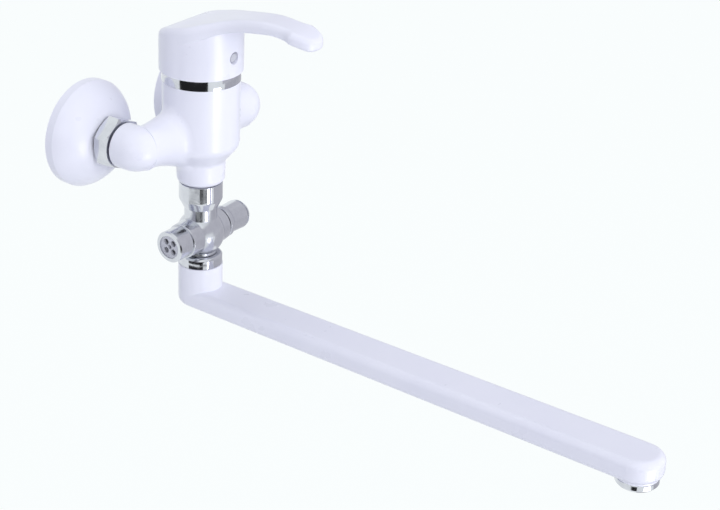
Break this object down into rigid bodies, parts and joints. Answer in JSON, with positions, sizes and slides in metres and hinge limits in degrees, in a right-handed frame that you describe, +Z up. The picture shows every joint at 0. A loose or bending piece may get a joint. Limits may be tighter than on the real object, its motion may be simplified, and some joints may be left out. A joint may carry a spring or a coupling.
{
  "type": "wall mixer tap",
  "caption": "Wall mixer tap with a top lever, a ceramic cartridge, a shower diverter with a side outlet and knob, and a long flat swivel spout with an aerator.",
  "frame": {"origin": "on the wall's face, midway between the two pipe ports", "axes": "+X right along the wall, +Y into the wall, +Z up; the spout and the lever point along -Y"},
  "size_m": [0.1686, 0.4108, 0.2157],
  "materials": {
    "white_enamel": "gloss white enamel",
    "bright_chrome": "polished chrome plate",
    "raw_brass": "turned brass",
    "steel": "machined stainless steel",
    "black_rubber": "matt",
    "ceramic": "lapped ceramic",
    "white_plastic": "moulded",
    "grey_plastic": "moulded, satin"
  },
  "bodies": {
    "tap": {"wall_rosette_left": "white_enamel", "wall_rosette_right": "white_enamel", "eccentric_union_left": "raw_brass", "eccentric_union_right": "raw_brass", "union_gasket_left": "black_rubber", "union_gasket_right": "black_rubber", "tailpiece_left": "bright_chrome", "tailpiece_right": "bright_chrome", "coupling_nut_left": "bright_chrome", "coupling_nut_right": "bright_chrome", "mixer_body": "white_enamel", "cartridge_base": "white_plastic", "cartridge_seals": "black_rubber", "fixed_disc": "ceramic", "cartridge_housing": "white_plastic", "cartridge_nut": "raw_brass", "cover_ring": "bright_chrome", "diverter_nut": "bright_chrome", "diverter_gasket": "black_rubber", "retaining_ring": "steel", "diverter_body": "bright_chrome", "diverter_gland": "raw_brass", "check_valve_cage": "grey_plastic", "check_valve_spring": "steel", "spout_slip_ring": "white_plastic", "spigot_o_rings": "black_rubber"},
    "stem_carrier": {"stem_hub": "white_plastic", "stem_pin": "steel"},
    "lever": {"lever_stem": "raw_brass", "lever_handle": "white_enamel", "handle_screw": "steel", "index_plug": "grey_plastic"},
    "disc_slide": {"moving_disc": "ceramic", "disc_driver": "white_plastic"},
    "diverter_valve": {"diverter_core": "raw_brass", "diverter_o_rings": "black_rubber", "diverter_knob": "bright_chrome", "knob_screw": "steel"},
    "check_valve": {"check_valve_poppet": "grey_plastic"},
    "spout": {"spout_tube": "white_enamel", "spout_nut": "bright_chrome", "aerator_housing": "bright_chrome", "aerator_washer": "black_rubber", "aerator_insert": "grey_plastic", "aerator_mesh": "steel"}
  },
  "joints": [
    {"name": "lever_swing", "type": "hinge", "parent": "tap", "child": "stem_carrier", "pos_m": [0, -0.0535, 0.034], "axis": [0, 0, 1], "range_deg": [-45, 45]},
    {"name": "lever_tilt", "type": "hinge", "parent": "stem_carrier", "child": "lever", "pos_m": [0, -0.0535, 0.042], "axis": [-1, 0, 0], "range_deg": [0, 24]},
    {"name": "disc_slide_travel", "type": "slide", "parent": "stem_carrier", "child": "disc_slide", "axis": [0, -1, 0], "range_m": [0, 0.0052]},
    {"name": "diverter_turn", "type": "hinge", "parent": "tap", "child": "diverter_valve", "pos_m": [0, -0.0535, -0.065], "axis": [1, 0, 0], "range_deg": [0, 90]},
    {"name": "check_valve_lift", "type": "slide", "parent": "tap", "child": "check_valve", "axis": [-1, 0, 0], "range_m": [0, 0.0025], "stiffness_N_per_m": 80, "springref_m": -0.003, "deforming": ["check_valve_spring"]},
    {"name": "spout_swivel", "type": "hinge", "parent": "tap", "child": "spout", "pos_m": [0, -0.0535, -0.09], "axis": [0, 0, 1], "range_deg": [-90, 90]}
  ],
  "couplings": [
    {"joint": "disc_slide_travel", "follows": "lever_tilt", "m_per_rad": 0.012309}
  ]
}
